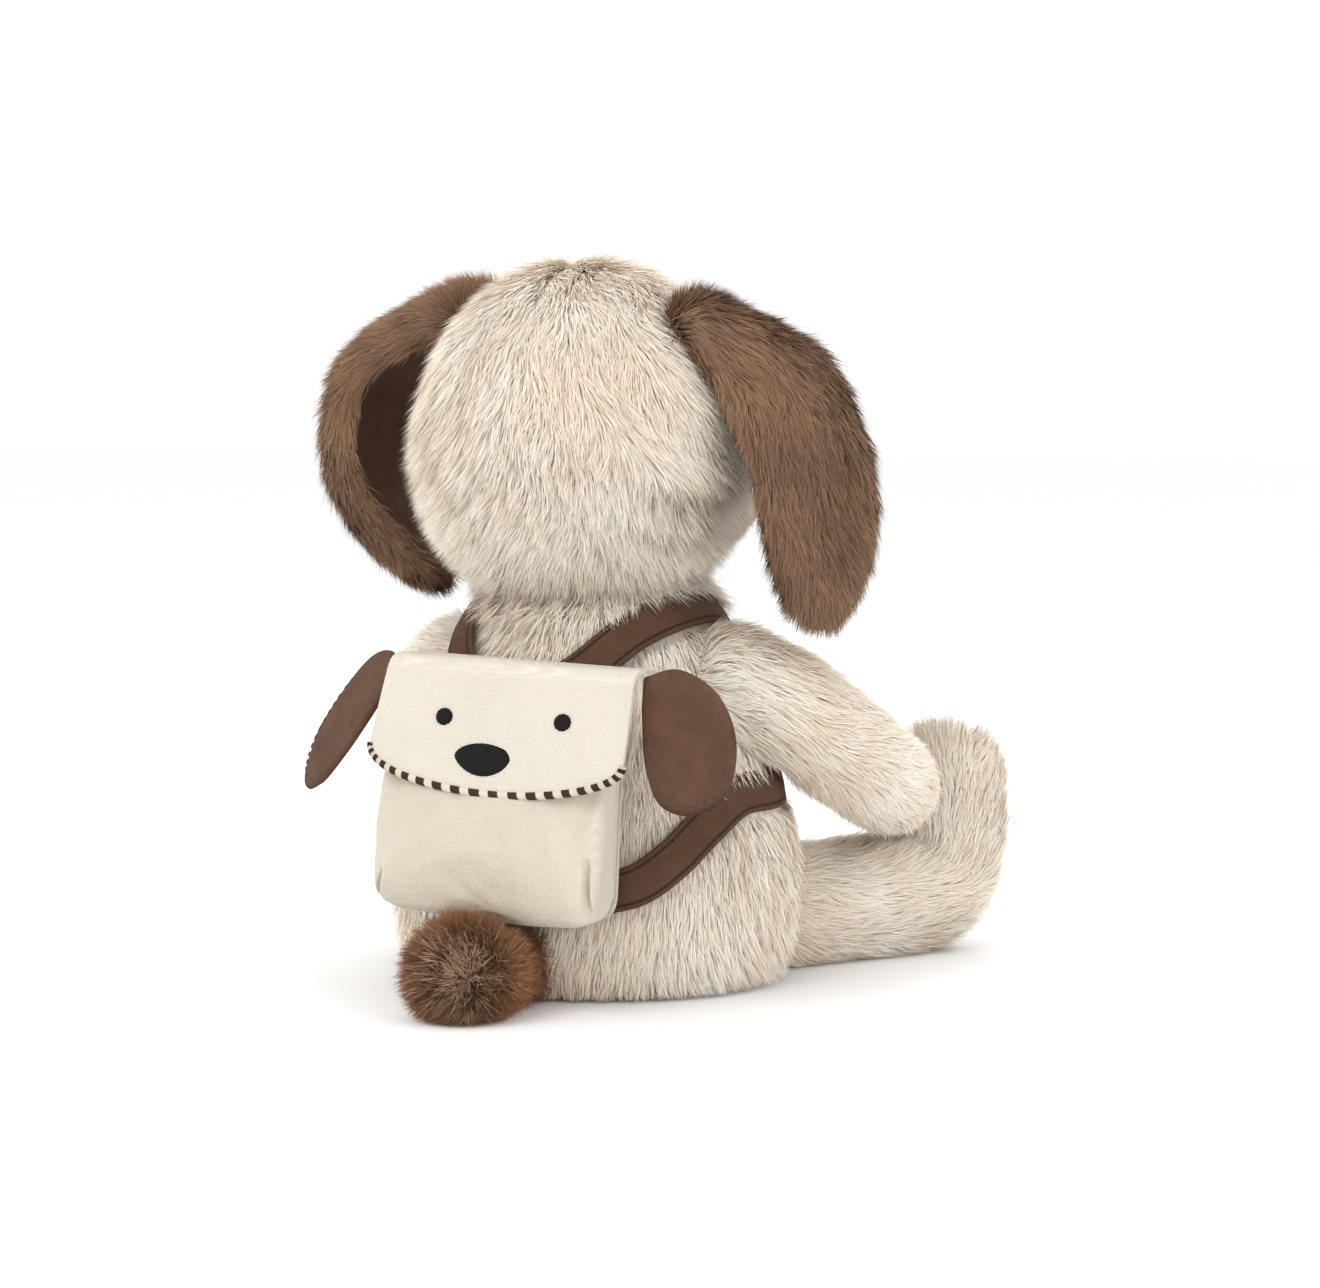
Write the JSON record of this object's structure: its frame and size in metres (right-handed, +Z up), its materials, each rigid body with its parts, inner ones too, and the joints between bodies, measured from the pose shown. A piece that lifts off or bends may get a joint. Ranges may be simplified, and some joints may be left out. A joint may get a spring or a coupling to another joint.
{
  "type": "plush dog",
  "caption": "Seated plush dog with stuffed body, long lined ears, turning head, swinging limbs and a small flap backpack on its back",
  "frame": {"origin": "Middle of the flat seat panel, on the ground the dog sits on", "axes": "+Z is up; the dog faces -Y; its own left side is +X; the backpack is on the +Y side"},
  "size_m": [0.1855, 0.2231, 0.2204],
  "materials": {
    "plush_cream": "dense long-pile plush",
    "plush_brown": "dense long-pile plush",
    "lining_brown": "brushed cotton",
    "canvas": "plain weave cotton",
    "cotton_brown": "plain weave cotton",
    "thread_black": "satin stitched",
    "thread_brown": "twisted embroidery thread",
    "bead_plastic": "polished",
    "clear_nylon": "moulded",
    "fibre_fill": "loose polyester fibre",
    "muslin": "plain muslin bag of plastic beads"
  },
  "bodies": {
    "torso": {"torso_skin_left": "plush_cream", "torso_skin_right": "plush_cream", "torso_stuffing": "fibre_fill", "bead_pouch": "muslin", "seat_panel": "plush_cream", "strap_left": "cotton_brown", "strap_right": "cotton_brown", "backpack_back_panel": "canvas", "backpack_pouch": "canvas", "closure_loop_patch": "canvas"},
    "head": {"head_skin_left": "plush_cream", "head_skin_right": "plush_cream", "head_stuffing": "fibre_fill", "muzzle_skin": "plush_cream", "muzzle_stuffing": "fibre_fill", "nose": "thread_black", "mouth_stitching": "thread_brown", "eye_left": "bead_plastic", "eye_right": "bead_plastic", "eye_washer_left": "clear_nylon", "eye_washer_right": "clear_nylon"},
    "flap": {"backpack_flap": "canvas", "flap_piping": "canvas", "flap_eye_left": "thread_black", "flap_eye_right": "thread_black", "flap_nose": "thread_black", "closure_hook_patch": "cotton_brown"},
    "ear_left": {"ear_plush_left": "plush_brown", "ear_lining_left": "lining_brown"},
    "arm_left": {"arm_skin_left": "plush_cream", "arm_stuffing_left": "fibre_fill"},
    "leg_left": {"leg_skin_left": "plush_cream", "leg_stuffing_left": "fibre_fill"},
    "bag_ear_left": {"backpack_ear_left": "cotton_brown"},
    "ear_right": {"ear_plush_right": "plush_brown", "ear_lining_right": "lining_brown"},
    "arm_right": {"arm_skin_right": "plush_cream", "arm_stuffing_right": "fibre_fill"},
    "leg_right": {"leg_skin_right": "plush_cream", "leg_stuffing_right": "fibre_fill"},
    "bag_ear_right": {"backpack_ear_right": "cotton_brown"},
    "tail": {"tail_skin": "plush_brown", "tail_stuffing": "fibre_fill"}
  },
  "joints": [
    {"name": "head_turn", "type": "hinge", "parent": "torso", "child": "head", "pos_m": [0, 0.006, 0.127], "axis": [0, 0, 1], "range_deg": [-18, 18]},
    {"name": "ear_left_flop", "type": "hinge", "parent": "head", "child": "ear_left", "pos_m": [0.0415, 0.008, 0.2129], "axis": [-0.2924, -0.9563, 0], "range_deg": [-4, 35]},
    {"name": "ear_right_flop", "type": "hinge", "parent": "head", "child": "ear_right", "pos_m": [-0.046, 0.008, 0.2075], "axis": [-0.0523, 0.9986, 0], "range_deg": [-4, 35]},
    {"name": "arm_left_swing", "type": "hinge", "parent": "torso", "child": "arm_left", "pos_m": [0.0475, 0, 0.093], "axis": [-1, 0, 0], "range_deg": [-3, 22]},
    {"name": "arm_right_swing", "type": "hinge", "parent": "torso", "child": "arm_right", "pos_m": [-0.0475, 0, 0.093], "axis": [-1, 0, 0], "range_deg": [-3, 22]},
    {"name": "leg_left_splay", "type": "hinge", "parent": "torso", "child": "leg_left", "pos_m": [0.041, -0.041, 0.018], "axis": [0, 0, 1], "range_deg": [-8, 15]},
    {"name": "leg_right_splay", "type": "hinge", "parent": "torso", "child": "leg_right", "pos_m": [-0.041, -0.041, 0.018], "axis": [0, 0, -1], "range_deg": [-8, 15]},
    {"name": "tail_wag", "type": "hinge", "parent": "torso", "child": "tail", "pos_m": [0, 0.0525, 0.0128], "axis": [0, 0, 1], "range_deg": [-25, 25]},
    {"name": "flap_open", "type": "hinge", "parent": "torso", "child": "flap", "pos_m": [-0.00963, 0.05605, 0.10245], "axis": [0.9994, 0, 0.0349], "range_deg": [0, 110]},
    {"name": "bag_ear_left_flop", "type": "hinge", "parent": "flap", "child": "bag_ear_left", "pos_m": [0.03905, 0.06239, 0.10408], "axis": [0.0018, -0.9986, -0.0523], "range_deg": [0, 45]},
    {"name": "bag_ear_right_flop", "type": "hinge", "parent": "flap", "child": "bag_ear_right", "pos_m": [-0.0583, 0.06239, 0.10068], "axis": [-0.0018, 0.9986, 0.0523], "range_deg": [0, 45]}
  ]
}
